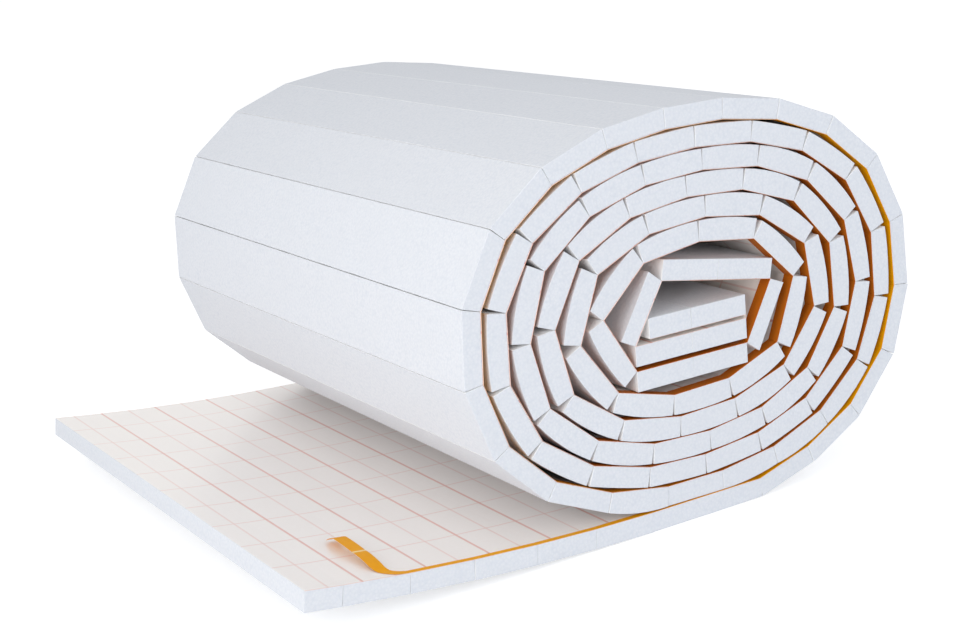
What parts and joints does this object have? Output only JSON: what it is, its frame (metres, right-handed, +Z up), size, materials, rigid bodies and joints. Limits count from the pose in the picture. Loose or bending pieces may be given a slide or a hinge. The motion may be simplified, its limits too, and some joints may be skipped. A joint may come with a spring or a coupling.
{
  "type": "insulation roll",
  "caption": "Rolled underfloor insulation sheet: foam slats on a printed facing film, wound film side in to a flattened roll, with its outer end let down as a flap.",
  "frame": {"origin": "on the floor under the middle of the roll and its flap", "axes": "X runs along the sheet with the flap towards -X, Y runs along the roll's axis, Z is up"},
  "size_m": [1.0687, 1, 0.6076],
  "materials": {
    "foam": "white expanded polystyrene, cut edges",
    "film": "pale fabric-backed film with a printed grid",
    "strip": "yellow adhesive strip with its liner"
  },
  "bodies": {
    "root": {"slats_folded_end": "foam", "slats_turn_1": "foam", "slats_turn_2": "foam", "slats_turn_3": "foam", "slats_turn_4": "foam", "slats_turn_5": "foam", "slats_turn_6": "foam", "slats_turn_7": "foam", "slats_on_floor": "foam", "slats_flap": "foam", "facing_film": "film", "edge_strip": "strip"}
  },
  "joints": []
}
